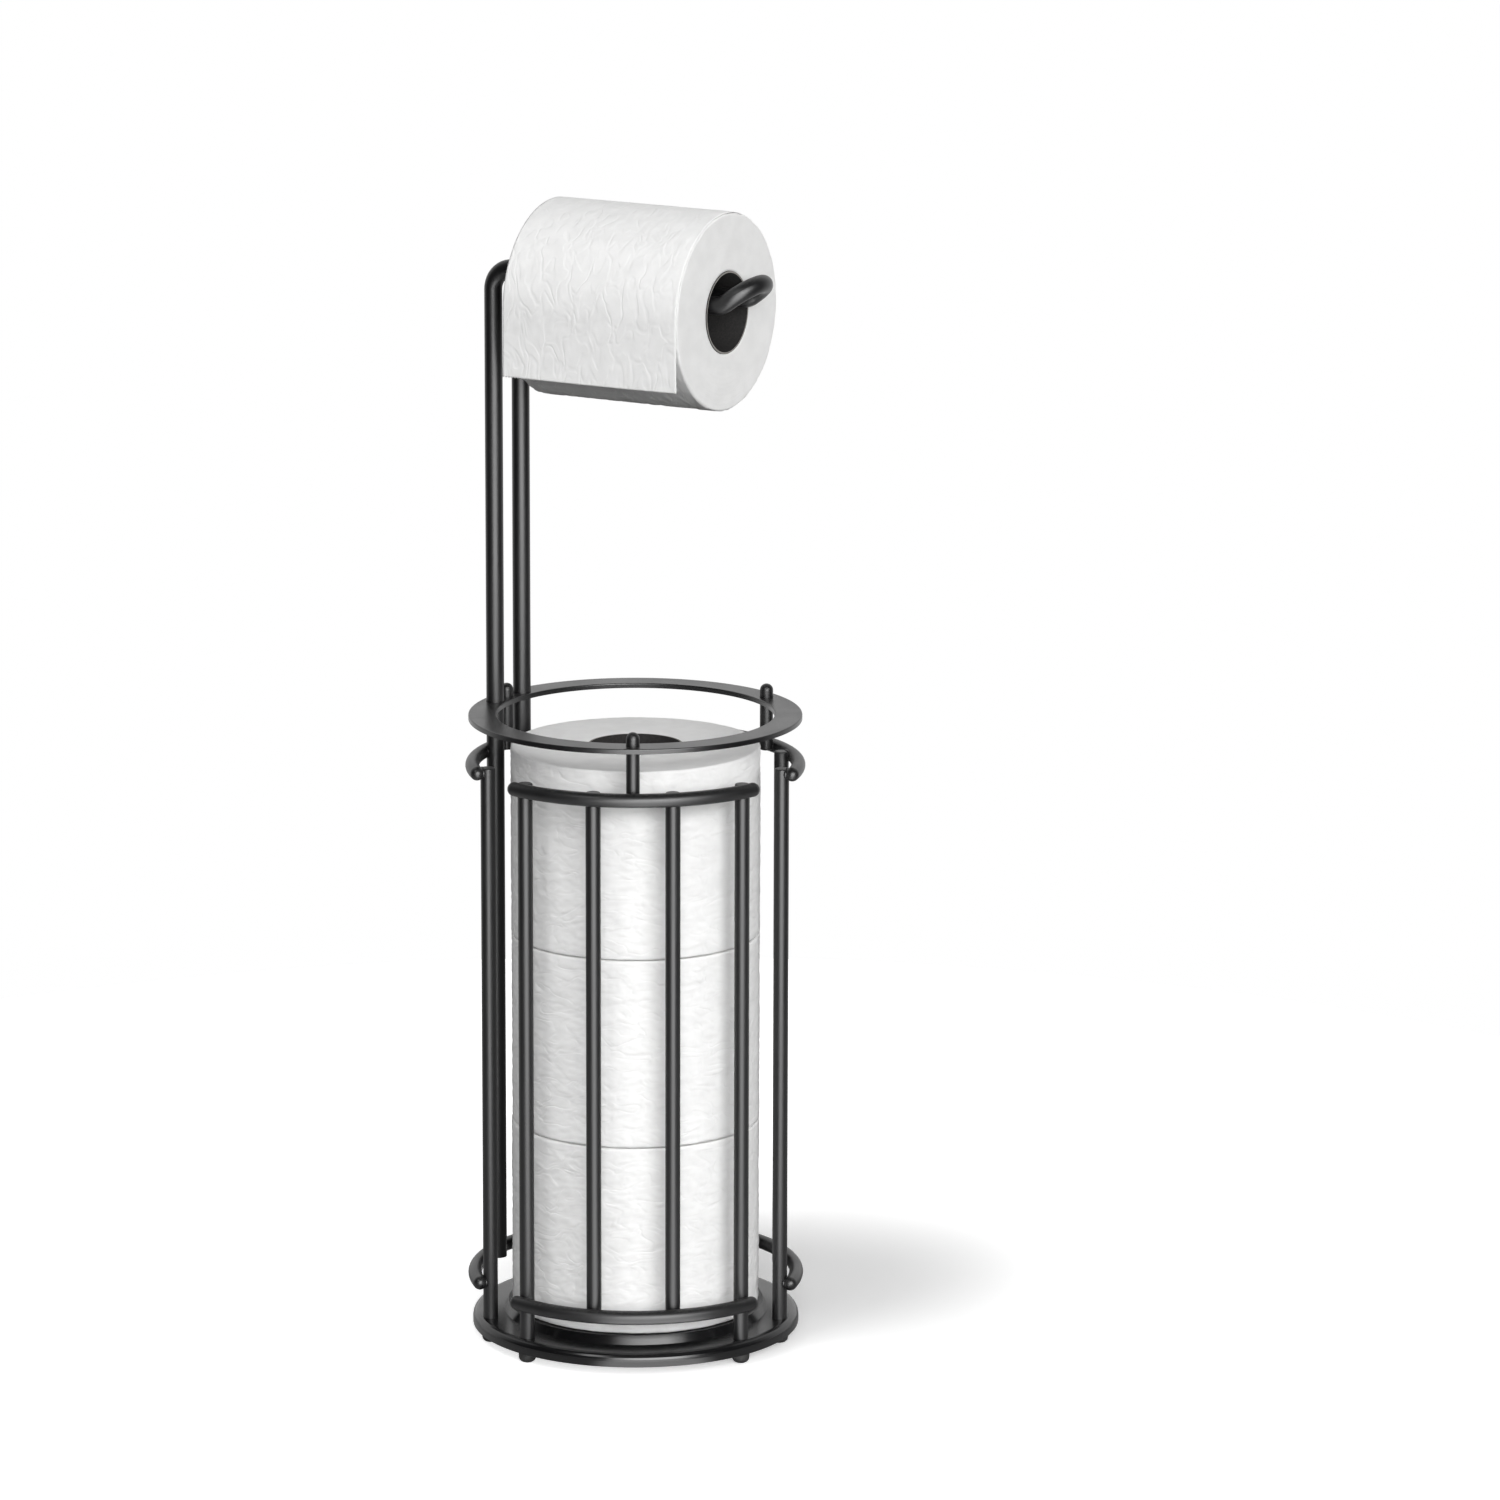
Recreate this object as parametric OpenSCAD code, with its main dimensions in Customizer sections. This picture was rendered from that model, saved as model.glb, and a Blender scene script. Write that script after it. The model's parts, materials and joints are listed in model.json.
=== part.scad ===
// Toilet roll storage holder: a free-standing wire cage for three spare rolls,
// with a bent tube that rises behind it and carries one roll in use.
// Millimetres, Z up. The origin is on the floor, on the cage's own axis.
// Angles are counted round the cage from the front (-Y), positive to the right.

/* [Base plate] */
// Distance from the legs to the base plate's rim
base_margin = 3.5; // [2.5:0.1:10]
// Gap between the floor and the base plate's lower edge
base_lift = 6.5; // [4:0.1:15]
// Height of the base plate's turned-down rim
base_rim_h = 7; // [5.5:0.1:12]
// Radius of the rounding between the rim and the flange
base_shoulder_r = 4; // [2:0.1:5]
// Thickness of the pressed sheet
base_sheet = 1.6; // [1:0.1:2.5]
// Width of the raised seat's border round the rolls
seat_margin = 4; // [0.5:0.1:5]
// Height of the seat above the flange
seat_rise = 4.4; // [2:0.1:8]

/* [Feet] */
// Wall of a foot cap
foot_wall = 0.6; // [0.4:0.1:1.5]
// Radius of the rounding under a foot cap
foot_round_r = 3; // [1:0.1:3.8]
// Thickness of the cap under the wire
foot_floor = 3; // [1:0.1:4]
// Height of the cap above the base plate's lower edge
foot_grip = 1.5; // [0.5:0.1:3]

/* [Wire panels] */
// Room between the spare rolls and the upright wires
roll_room = 9.5; // [8.5:0.1:12]
// Diameter of the upright wires
rod_d = 7.8; // [6:0.1:8.6]
// Diameter of the curved rails
rail_d = 7.4; // [6:0.1:9]
// Depth to which a weld sinks an upright wire into a rail
weld_bite = 1.5; // [0.5:0.1:2.5]
// Angle from the middle of a panel to each of its bars
bar_angle = 15; // [10:0.5:20]
// Angle from the middle of a panel to each of its legs
leg_angle = 45; // [40:0.5:48]
// Angle by which the rails run past the legs
rail_overhang = 1; // [0:0.5:8]
// Height of a lower rail's centre above the flange
lower_rail_rise = 19.7; // [14:0.1:40]
// Height of an upper rail's centre above the lower one
rail_spacing = 276.9; // [250:0.1:300]
// Height of the wires' ends above the tops of the upper rails, less than 0 where they end lower
rod_tip = -1.2; // [-2:0.1:10]
// Rounding of the cut wire ends
wire_end_r = 0.8; // [0.2:0.1:2]

/* [Top ring] */
// Width of the top ring outside the circle of the upright wires
ring_margin = 8.1; // [6:0.1:12]
// Room round a spare roll that passes through the ring
ring_room = 7; // [2:0.1:8]
// Thickness of the top ring
ring_t = 2.6; // [2:0.1:5]
// Height of the ring's upper face above the upper rails' centres
ring_rise = 27.5; // [18:0.1:60]
// Diameter of the three wires that carry the ring
hanger_d = 7; // [5:0.1:8.5]
// Height of the wires' domed ends above the ring
nub_h = 7.2; // [4:0.1:15]
// Depth to which those wires run below the upper rails' centres
hanger_foot = 1; // [0:0.1:3]

/* [Arm tube] */
// Diameter of the bent tube
tube_d = 9.4; // [8:0.1:10]
// Room beside the tube's two legs in the core of the roll in use
core_room = 2.5; // [1:0.1:5]
// Depth to which the tube sinks into the rails
post_bite = 2.2; // [0.5:0.1:3]
// Length of tube below the lower rail's centre
post_foot = 0.5; // [0:0.1:3]
// Height of the level arm above the ring's upper face
arm_rise = 222.1; // [200:0.1:260]
// Height of the bend's crown above the level arm
crown_rise = 9.4; // [5:0.1:12]
// Bend radius at the crown
crown_bend_r = 12; // [10:0.1:16]
// Angle at which the neck runs down from the crown
neck_angle = 26; // [20:0.5:30]
// Bend radius between the neck and the level arm
neck_bend_r = 20; // [12:0.5:25]
// Length of the level arm past the roll in use
arm_tail = 1.2; // [0.5:0.1:20]
// Angle of the turned-up end
kick_angle = 36; // [15:0.5:45]
// Bend radius below the turned-up end
kick_bend_r = 10; // [6:0.1:20]
// Straight length before the end loop
kick_straight = 1.6; // [0.5:0.1:12]

/* [Roll in use] */
// Outer radius of the roll in use
hung_r = 51.5; // [40:0.1:60]
// Width of the roll in use
hung_w = 104; // [90:0.1:120]
// Inner radius of its core
hung_core_r = 20.5; // [18:0.1:24]
// Distance from the tube's upright legs to the roll
hung_start = 29.5; // [28:0.1:30]
// Clearance between the core and the tube
hung_clearance = 0.4; // [0.2:0.05:1]

/* [Spare rolls] */
// Outer radius of a spare roll
spare_r = 66; // [50:0.1:75]
// Height of a spare roll
spare_w = 100.7; // [90:0.1:120]
// Inner radius of a spare roll's core
spare_core_r = 24; // [18:0.1:28]
// Gap under each spare roll
spare_gap = 0.3; // [0.1:0.05:0.5]

/* [Paper] */
// Wall of a cardboard core
core_wall = 0.9; // [0.5:0.1:2]
// Gap between a core and the paper wound on it
wind_gap = 0.1; // [0.05:0.05:0.3]
// Rounding of the paper's edges
paper_edge_r = 1.2; // [0.4:0.1:3]
// Thickness of the loose sheet
sheet_t = 0.6; // [0.4:0.1:1.5]
// Gap between the loose sheet and its roll
sheet_gap = 0.3; // [0.2:0.05:0.6]
// Distance from the roll's axis down to the loose sheet's lower edge
sheet_drop = 35; // [20:0.5:70]
// Angle past the roll's crown at which the loose sheet starts
sheet_start = 12; // [0:1:30]
// Distance of the loose sheet's side edges from the roll's end faces
sheet_inset = 0.4; // [0:0.1:5]

/* [Hidden] */
$fn = 64;
// Clearance of a wire in its hole in the ring or in the base plate
hole_gap = 0.15;
// Clearance of a foot cap round its wire
cap_gap = 0.1;
// Rounding of the ring's edges
ring_edge_r = 0.6;
// Rounding of a foot cap's mouth
cap_edge_r = 0.3;
// Length by which a straight run of tube reaches into a bend
run_lap = 0.3;
// Height by which the skin of a bend or an end ball stands over the wire that runs into it
joint_swell = 0.02;
// Wire panels round the cage, each with two legs
panel_count = 3;
// Panel that carries the bent tube, whose legs stand there in the place of the two bars
arm_panel = panel_count;
// Spare rolls in the stack
spare_count = 3;

leg_count = 2 * panel_count;
bar_count = leg_count - 2;
panel_turn = 360 / panel_count;

cage_r = spare_r + roll_room + rod_d / 2;
base_r = cage_r + rod_d / 2 + base_margin;
seat_r = spare_r + seat_margin;
foot_d = rod_d + 2 * (cap_gap + foot_wall);
rail_angle = leg_angle + rail_overhang;
rail_r = cage_r + (rod_d + rail_d) / 2 - weld_bite;
ring_outer_r = cage_r + ring_margin;
ring_inner_r = spare_r + ring_room;
nub_round_r = 0.96 * hanger_d / 2;

flange_z = base_lift + base_rim_h;
seat_z = flange_z + seat_rise;
lower_rail_z = flange_z + lower_rail_rise;
upper_rail_z = lower_rail_z + rail_spacing;
rod_top_z = upper_rail_z + rail_d / 2 + rod_tip;
ring_z = upper_rail_z + ring_rise;

// The bent tube lies in two upright planes, one on each side of the arm's middle.
half_spacing = hung_core_r - core_room - tube_d / 2;
post_circle_r = rail_r - (rail_d + tube_d) / 2 + post_bite;
post_x = sqrt(post_circle_r ^ 2 - half_spacing ^ 2);
arm_z = ring_z + arm_rise;
crown_z = arm_z + crown_rise;

// Along the arm from the upright legs: ends of the crown's bend, of the neck and of its lower bend.
crown_end_x = crown_bend_r * (1 + sin(neck_angle));
crown_end_z = crown_z - crown_bend_r * (1 - cos(neck_angle));
neck_bend_drop = neck_bend_r * (1 - cos(neck_angle));
neck_length = (crown_end_z - arm_z - neck_bend_drop) / sin(neck_angle);
neck_end_x = crown_end_x + neck_length * cos(neck_angle);
level_x = neck_end_x + neck_bend_r * sin(neck_angle);
level_end_x = hung_start + hung_w + arm_tail;

// Height of the tube's centre at a distance along the arm.
function tube_z(x) =
    x < neck_end_x ? crown_end_z - (x - crown_end_x) * tan(neck_angle)
    : x < level_x ? arm_z + neck_bend_r - sqrt(neck_bend_r ^ 2 - (level_x - x) ^ 2)
    : arm_z;

// The core hangs with its end on the neck's two legs.
core_reach = hung_core_r - hung_clearance - tube_d / 2;
hung_z = tube_z(hung_start) - sqrt(core_reach ^ 2 - half_spacing ^ 2);
hung_x = hung_start - post_x;

spare_pitch = spare_w + spare_gap;

// Points of an arc from angle a to angle b.
function arc(centre, r, a, b, steps = 6) =
    [for (i = [0:steps]) let (t = a + (b - a) * i / steps) centre + r * [cos(t), sin(t)]];

// Angle of panel i, of its two legs and of its two bars: wires 1 and 2 are on panel 1, and so on.
function panel_at(i) = (i - 1) * panel_turn;
function wire_at(i, spread) = panel_at(ceil(i / 2)) + (i % 2 == 1 ? -spread : spread);

// Puts children at an angle round the cage, at a radius from its axis.
module round_cage(angle, r = 0) {
    rotate([0, 0, angle - 90]) translate([r, 0, 0]) children();
}

// Turns the arm's own frame, with +X along the arm and the origin on the cage's axis, into place.
module along_arm() {
    rotate([0, 0, panel_at(arm_panel) + 90]) children();
}

// Round bar from z0 to z1 with rounded ends.
module wire(z0, z1, d, low_r, top_r) {
    rotate_extrude()
        polygon(concat(
            [[0, z0]],
            arc([d / 2 - low_r, z0 + low_r], low_r, -90, 0),
            arc([d / 2 - top_r, z1 - top_r], top_r, 0, 90),
            [[0, z1]]
        ));
}

// Straight tube from the origin along +X. Its ends reach a little way into the bends,
// which are a hair thicker, and children go on from its far end.
module run(length, lap_before = run_lap) {
    translate([-lap_before, 0, 0])
        rotate([0, 90, 0])
            cylinder(d = tube_d, h = length + lap_before + run_lap);
    translate([length, 0, 0]) children();
}

// Bent tube from the origin along +X that turns towards +Z by an angle, or away from +Z by
// a negative one. Children go on from its far end, in the direction that it has there.
module bend(r, angle) {
    side = sign(angle);
    translate([0, 0, side * r]) {
        rotate([90, 0, 0])
            rotate([0, 0, side > 0 ? -90 : 90 + angle])
                rotate_extrude(angle = abs(angle))
                    translate([r, 0])
                        circle(d = tube_d + 2 * joint_swell);
        rotate([0, -angle, 0]) translate([0, 0, -side * r]) children();
    }
}

module base_plate() {
    inner_shoulder_r = base_shoulder_r - base_sheet;
    color("#2b2b2d")
    difference() {
        rotate_extrude()
            polygon(concat(
                [[0, seat_z], [seat_r - seat_rise / 2, seat_z], [seat_r, flange_z]],
                arc([base_r - base_shoulder_r, flange_z - base_shoulder_r], base_shoulder_r, 90, 0),
                [[base_r, base_lift], [base_r - base_sheet, base_lift]],
                arc([base_r - base_shoulder_r, flange_z - base_shoulder_r], inner_shoulder_r, 0, 90),
                [[seat_r - base_sheet, flange_z - base_sheet],
                 [seat_r - base_sheet - seat_rise / 2, seat_z - base_sheet],
                 [0, seat_z - base_sheet]]
            ));
        for (i = [1:leg_count])
            round_cage(wire_at(i, leg_angle), cage_r)
                translate([0, 0, base_lift])
                    cylinder(d = rod_d + 2 * hole_gap, h = 2 * base_rim_h);
    }
}

module foot(i) {
    cap_top = base_lift + foot_grip;
    color("#1d1d1f")
    round_cage(wire_at(i, leg_angle), cage_r)
        difference() {
            wire(0, cap_top, foot_d, foot_round_r, cap_edge_r);
            translate([0, 0, foot_floor])
                cylinder(d = rod_d + 2 * cap_gap, h = cap_top);
        }
}

module leg(i) {
    color("#2f2f31")
    round_cage(wire_at(i, leg_angle), cage_r)
        wire(foot_floor, rod_top_z, rod_d, wire_end_r, wire_end_r);
}

module bar(i) {
    color("#2f2f31")
    round_cage(wire_at(i, bar_angle), cage_r)
        wire(lower_rail_z - rail_d / 4, rod_top_z, rod_d, wire_end_r, wire_end_r);
}

module rail(i, z) {
    color("#343436")
    translate([0, 0, z])
        round_cage(panel_at(i)) {
            rotate([0, 0, -rail_angle])
                rotate_extrude(angle = 2 * rail_angle)
                    translate([rail_r, 0])
                        circle(d = rail_d);
            for (side = [-1, 1])
                rotate([0, 0, side * rail_angle])
                    translate([rail_r, 0, 0])
                        sphere(d = rail_d + 2 * joint_swell);
        }
}

module hanger(i) {
    color("#2f2f31")
    round_cage(panel_at(i), cage_r)
        wire(upper_rail_z - hanger_foot, ring_z + nub_h, hanger_d, wire_end_r, nub_round_r);
}

module top_ring() {
    color("#4a4a4c")
    difference() {
        rotate_extrude()
            polygon(concat(
                arc([ring_inner_r + ring_edge_r, ring_z - ring_edge_r], ring_edge_r, 180, 90, 3),
                arc([ring_outer_r - ring_edge_r, ring_z - ring_edge_r], ring_edge_r, 90, 0, 3),
                [[ring_outer_r, ring_z - ring_t], [ring_inner_r, ring_z - ring_t]]
            ));
        for (i = [1:panel_count])
            round_cage(panel_at(i), cage_r)
                translate([0, 0, ring_z - 2 * ring_t])
                    cylinder(d = hanger_d + 2 * hole_gap, h = 3 * ring_t);
        along_arm()
            for (side = [-1, 1])
                translate([-post_x, side * half_spacing, ring_z - 2 * ring_t])
                    cylinder(d = tube_d + 2 * hole_gap, h = 3 * ring_t);
    }
}

// One side of the bent tube, in its upright plane, up to the end loop, where children go on.
module arm_side() {
    foot_z = lower_rail_z - post_foot;
    translate([-post_x, 0, foot_z])
        rotate([0, -90, 0])
            run(crown_z - crown_bend_r - foot_z, 0)
                bend(crown_bend_r, -90 - neck_angle)
                    run(neck_length)
                        bend(neck_bend_r, neck_angle)
                            run(level_end_x - level_x)
                                bend(kick_bend_r, kick_angle)
                                    run(kick_straight)
                                        children();
}

module arm_tube() {
    color("#2f2f31")
    along_arm() {
        translate([0, half_spacing, 0]) arm_side();
        translate([0, -half_spacing, 0])
            arm_side()
                rotate([-90, 0, 0]) bend(half_spacing, 180);
    }
}

// Hollow roll of a width along +Z with rounded paper edges.
module wound_paper(outer_r, core_r, w) {
    inner_r = core_r + core_wall + wind_gap;
    rotate_extrude()
        polygon(concat(
            [[inner_r, 0]],
            arc([outer_r - paper_edge_r, paper_edge_r], paper_edge_r, -90, 0, 4),
            arc([outer_r - paper_edge_r, w - paper_edge_r], paper_edge_r, 0, 90, 4),
            [[inner_r, w]]
        ));
}

module paper_core(core_r, w) {
    difference() {
        cylinder(r = core_r + core_wall, h = w);
        translate([0, 0, -1]) cylinder(r = core_r, h = w + 2);
    }
}

// Puts children standing on the seat as spare roll i, counted from the lowest.
module in_stack(i) {
    translate([0, 0, seat_z + spare_gap + (i - 1) * spare_pitch]) children();
}

module spare_roll(i) {
    color("#f2f2f2") in_stack(i) wound_paper(spare_r, spare_core_r, spare_w);
}

module spare_core(i) {
    color("#8a8580") in_stack(i) paper_core(spare_core_r, spare_w);
}

// Puts children, standing up along +Z, on the axis of the roll in use.
module on_arm() {
    along_arm()
        translate([hung_x, 0, hung_z])
            rotate([0, 90, 0])
                children();
}

module hung_roll() {
    color("#f2f2f2") on_arm() wound_paper(hung_r, hung_core_r, hung_w);
}

module hung_core() {
    color("#8a8580") on_arm() paper_core(hung_core_r, hung_w);
}

// The last turn of paper: from just past the roll's crown round its front, then straight down.
module loose_sheet() {
    inner_r = hung_r + sheet_gap;
    outer_r = inner_r + sheet_t;
    color("#f6f6f6")
    along_arm()
        translate([hung_x + sheet_inset, 0, hung_z])
            rotate([90, 0, 90])
                linear_extrude(hung_w - 2 * sheet_inset)
                    polygon(concat(
                        arc([0, 0], outer_r, 90 - sheet_start, 180, 24),
                        [[-outer_r, -sheet_drop], [-inner_r, -sheet_drop]],
                        arc([0, 0], inner_r, 180, 90 - sheet_start, 24)
                    ));
}

base_plate();
top_ring();
arm_tube();
for (i = [1:leg_count]) {
    foot(i);
    leg(i);
}
for (i = [1:bar_count])
    bar(i);
for (i = [1:panel_count]) {
    rail(i, lower_rail_z);
    rail(i, upper_rail_z);
    hanger(i);
}
for (i = [1:spare_count]) {
    spare_core(i);
    spare_roll(i);
}
hung_core();
hung_roll();
loose_sheet();
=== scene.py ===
# %% [markdown]
# A free-standing holder for toilet rolls. Three curved panels of black wire stand on a round
# pressed base and carry a flat ring, three spare rolls stand inside them, and a bent tube
# rises behind the cage to hold the roll in use. The metal keeps the shape that the packed
# model gives it. The paper is made here, because a wound roll is soft, embossed and layered.

# %%
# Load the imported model
import json
import math

import bpy
import numpy as np
from mathutils import Matrix, Vector


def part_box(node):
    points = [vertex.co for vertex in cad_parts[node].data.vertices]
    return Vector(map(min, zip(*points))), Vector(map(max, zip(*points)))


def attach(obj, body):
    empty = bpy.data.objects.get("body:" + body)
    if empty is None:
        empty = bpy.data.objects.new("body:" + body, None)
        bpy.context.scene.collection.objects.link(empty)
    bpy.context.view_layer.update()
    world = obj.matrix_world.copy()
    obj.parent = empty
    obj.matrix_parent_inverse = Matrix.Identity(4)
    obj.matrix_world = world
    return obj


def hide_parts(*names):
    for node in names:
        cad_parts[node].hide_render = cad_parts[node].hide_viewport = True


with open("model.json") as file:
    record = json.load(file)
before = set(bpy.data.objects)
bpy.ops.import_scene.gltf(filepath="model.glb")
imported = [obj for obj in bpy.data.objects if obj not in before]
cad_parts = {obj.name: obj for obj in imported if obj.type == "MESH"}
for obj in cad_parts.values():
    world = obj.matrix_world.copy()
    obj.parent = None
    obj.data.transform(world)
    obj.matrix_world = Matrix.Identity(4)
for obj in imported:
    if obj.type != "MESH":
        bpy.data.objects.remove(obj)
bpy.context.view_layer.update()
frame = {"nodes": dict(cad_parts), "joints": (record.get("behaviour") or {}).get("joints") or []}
nodes = frame["nodes"]
scene = bpy.context.scene
MM = 0.001

# %% [markdown]
# The camera stands where the photographer stood: 3.6 m in front, a little to the right and
# above the arm, with a long lens. A long lens keeps upright wires nearly parallel. The values
# are the ones at which the base, the rails and the ring fall where the photograph has them.

# %%
# Camera
camera_place = Vector((0.0601, -3.6339, 1.1395))
camera_pitch = 0.2224
camera_roll = 0.0029
picture_width_px = 1500
focal_px = 7104
camera_data = bpy.data.cameras.new("camera")
camera_data.sensor_width = 36
camera_data.lens = camera_data.sensor_width * focal_px / picture_width_px
camera = bpy.data.objects.new("camera", camera_data)
camera.matrix_world = (
    Matrix.Translation(camera_place)
    @ Matrix.Rotation(math.pi / 2 - camera_pitch, 4, "X")
    @ Matrix.Rotation(camera_roll, 4, "Z")
)
scene.collection.objects.link(camera)
scene.camera = camera
print("lens:", round(camera_data.lens, 1), "mm")

# %% [markdown]
# Materials and Geometry Nodes are both graphs of small steps. These short helpers keep them
# readable: each one adds one kind of step and gives back its result. An input takes either a
# number or the result of another step, so a graph reads from the inside out, like a sum.

# %%
# Helpers for node graphs
FLOAT, WHOLE = "NodeSocketFloat", "NodeSocketInt"
GEOMETRY, MATERIAL = "NodeSocketGeometry", "NodeSocketMaterial"


def plug(tree, socket, value):
    if isinstance(value, bpy.types.NodeSocket):
        tree.links.new(value, socket)
    else:
        socket.default_value = value


def add_node(tree, kind, inputs=None, **settings):
    node = tree.nodes.new(kind)
    for name, value in settings.items():
        setattr(node, name, value)
    for name, value in (inputs or {}).items():
        plug(tree, node.inputs[name], value)
    return node


def calc(tree, operation, *values):
    node = tree.nodes.new("ShaderNodeMath")
    node.operation = operation
    for socket, value in zip(node.inputs, values):
        plug(tree, socket, value)
    return node.outputs[0]


def plus(tree, a, b):
    return calc(tree, "ADD", a, b)


def minus(tree, a, b):
    return calc(tree, "SUBTRACT", a, b)


def times(tree, a, b):
    return calc(tree, "MULTIPLY", a, b)


def over(tree, a, b):
    return calc(tree, "DIVIDE", a, b)


def size_of(tree, value):
    return calc(tree, "ABSOLUTE", value)


def wave(tree, turns):
    return calc(tree, "SINE", times(tree, turns, 2 * math.pi))


def vector_calc(tree, operation, a, b):
    node = add_node(tree, "ShaderNodeVectorMath", {0: a, 1: b}, operation=operation)
    return node.outputs["Value" if operation in ("DOT_PRODUCT", "DISTANCE") else "Vector"]


def split(tree, vector):
    return add_node(tree, "ShaderNodeSeparateXYZ", {0: vector}).outputs


def combine(tree, x, y, z):
    return add_node(tree, "ShaderNodeCombineXYZ", {0: x, 1: y, 2: z}).outputs[0]


def noise(tree, place, **inputs):
    return add_node(tree, "ShaderNodeTexNoise", {"Vector": place, **inputs}).outputs[0]


def remap(tree, value, low, high, new_low=0.0, new_high=1.0, smooth=False):
    node = tree.nodes.new("ShaderNodeMapRange")
    node.interpolation_type = "SMOOTHSTEP" if smooth else "LINEAR"
    for socket, given_value in zip(node.inputs, (value, low, high, new_low, new_high)):
        plug(tree, socket, given_value)
    return node.outputs[0]


def mix_number(tree, share, a, b):
    return add_node(tree, "ShaderNodeMix", {0: share, 2: a, 3: b}).outputs[0]


def mix_colour(tree, share, a, b):
    return add_node(tree, "ShaderNodeMix", {0: share, 6: a, 7: b}, data_type="RGBA").outputs[2]


def new_group(name, kind, inputs, outputs):
    tree = bpy.data.node_groups.new(name, kind)
    for label, socket_kind, value in inputs:
        socket = tree.interface.new_socket(label, in_out="INPUT", socket_type=socket_kind)
        if value is not None:
            socket.default_value = value
    for label, socket_kind in outputs:
        tree.interface.new_socket(label, in_out="OUTPUT", socket_type=socket_kind)
    return tree, tree.nodes.new("NodeGroupInput").outputs, tree.nodes.new("NodeGroupOutput").inputs


def use_group(tree, group, **inputs):
    node = tree.nodes.new("ShaderNodeGroup")
    node.node_tree = group
    for label, value in inputs.items():
        plug(tree, node.inputs[label.replace("_", " ")], value)
    return node.outputs


def new_material(name):
    material = bpy.data.materials.new(name)
    material.use_nodes = True
    tree = material.node_tree
    return material, tree, tree.nodes["Principled BSDF"]


def raise_skin(tree, shader, height, strength):
    """Lets a height in metres bend the light on a surface."""
    bump = add_node(tree, "ShaderNodeBump", {"Height": height, "Distance": 1.0, "Strength": strength})
    plug(tree, shader.inputs["Normal"], bump.outputs[0])


def dress(names, material):
    for name in names:
        slots = nodes[name].data.materials
        slots.clear()
        slots.append(material)


print("helpers ready")

# %% [markdown]
# Two effects come back in several finishes, so each is a shader node group with named inputs.
# Skin relief is the tiny unevenness of a coated or moulded surface, from a fine noise. Handling
# is a soft, blotchy mask where fingers and cloths have rubbed or dust has settled, and it
# changes roughness and colour a little. Both read Object coordinates, which are metres here.

# %%
# Shared shader groups
def skin_relief_group():
    tree, given, result = new_group(
        "skin relief", "ShaderNodeTree",
        [("Grain size mm", FLOAT, 1.0), ("Height mm", FLOAT, 0.01), ("Detail", FLOAT, 2.0)],
        [("Height", FLOAT)])
    place = add_node(tree, "ShaderNodeTexCoord").outputs["Object"]
    scale = over(tree, 1 / MM, given["Grain size mm"])
    grain = noise(tree, place, Scale=scale, Detail=given["Detail"], Roughness=0.55)
    plug(tree, result["Height"], times(tree, times(tree, grain, given["Height mm"]), MM))
    return tree


def handling_group():
    tree, given, result = new_group(
        "handling", "ShaderNodeTree",
        [("Patch size mm", FLOAT, 30.0), ("Amount", FLOAT, 0.5), ("Dust on top", FLOAT, 0.3)],
        [("Rubbed", FLOAT), ("Dust", FLOAT)])
    place = add_node(tree, "ShaderNodeTexCoord").outputs["Object"]
    scale = over(tree, 1 / MM, given["Patch size mm"])
    blotches = noise(tree, place, Scale=scale, Detail=4.0, Roughness=0.6, Distortion=0.4)
    patches = remap(tree, blotches, 0.38, 0.66, smooth=True)
    plug(tree, result["Rubbed"], times(tree, patches, given["Amount"]))
    up = split(tree, add_node(tree, "ShaderNodeNewGeometry").outputs["Normal"])["Z"]
    settled = remap(tree, up, 0.55, 1.0, smooth=True)
    specks = noise(tree, place, Scale=1 / (1.3 * MM), Detail=3.0, Roughness=0.7)
    speckled = times(tree, settled, remap(tree, specks, 0.45, 0.75))
    plug(tree, result["Dust"], times(tree, speckled, given["Dust on top"]))
    return tree


skin_relief = skin_relief_group()
handling = handling_group()
print("shader groups:", [group.name for group in bpy.data.node_groups])

# %% [markdown]
# The metal is black powder paint, baked to a satin gloss. It is nearly black, so what shows is
# mostly reflection: long soft streaks on the wires and a clear sheen on the flat base. A low
# specular level keeps the sides of the wires dark, fine orange peel breaks the streaks a little,
# and handling makes roughness wander. The base is glossier than the wires, and the ring's flat
# upper side is the one that gathers dust and light.

# %%
# Black paint
PANELS, SPARES = 3, 3
LEGS, BARS = 2 * PANELS, 2 * PANELS - 2
paint_black = (0.0045, 0.0045, 0.005, 1)
dust_grey = (0.19, 0.185, 0.18, 1)


def black_paint(name, roughness, specular, peel_mm=0.012, dust=0.25):
    material, tree, shader = new_material(name)
    touched = use_group(tree, handling, Patch_size_mm=38.0, Amount=0.6, Dust_on_top=dust)
    relief = use_group(tree, skin_relief, Grain_size_mm=1.6, Height_mm=peel_mm, Detail=2.0)
    worn = plus(tree, roughness, times(tree, touched["Rubbed"], 0.09))
    plug(tree, shader.inputs["Roughness"], plus(tree, worn, times(tree, touched["Dust"], 0.3)))
    plug(tree, shader.inputs["Base Color"], mix_colour(tree, touched["Dust"], paint_black, dust_grey))
    shader.inputs["Specular IOR Level"].default_value = specular
    raise_skin(tree, shader, relief["Height"], strength=0.6)
    return material


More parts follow.
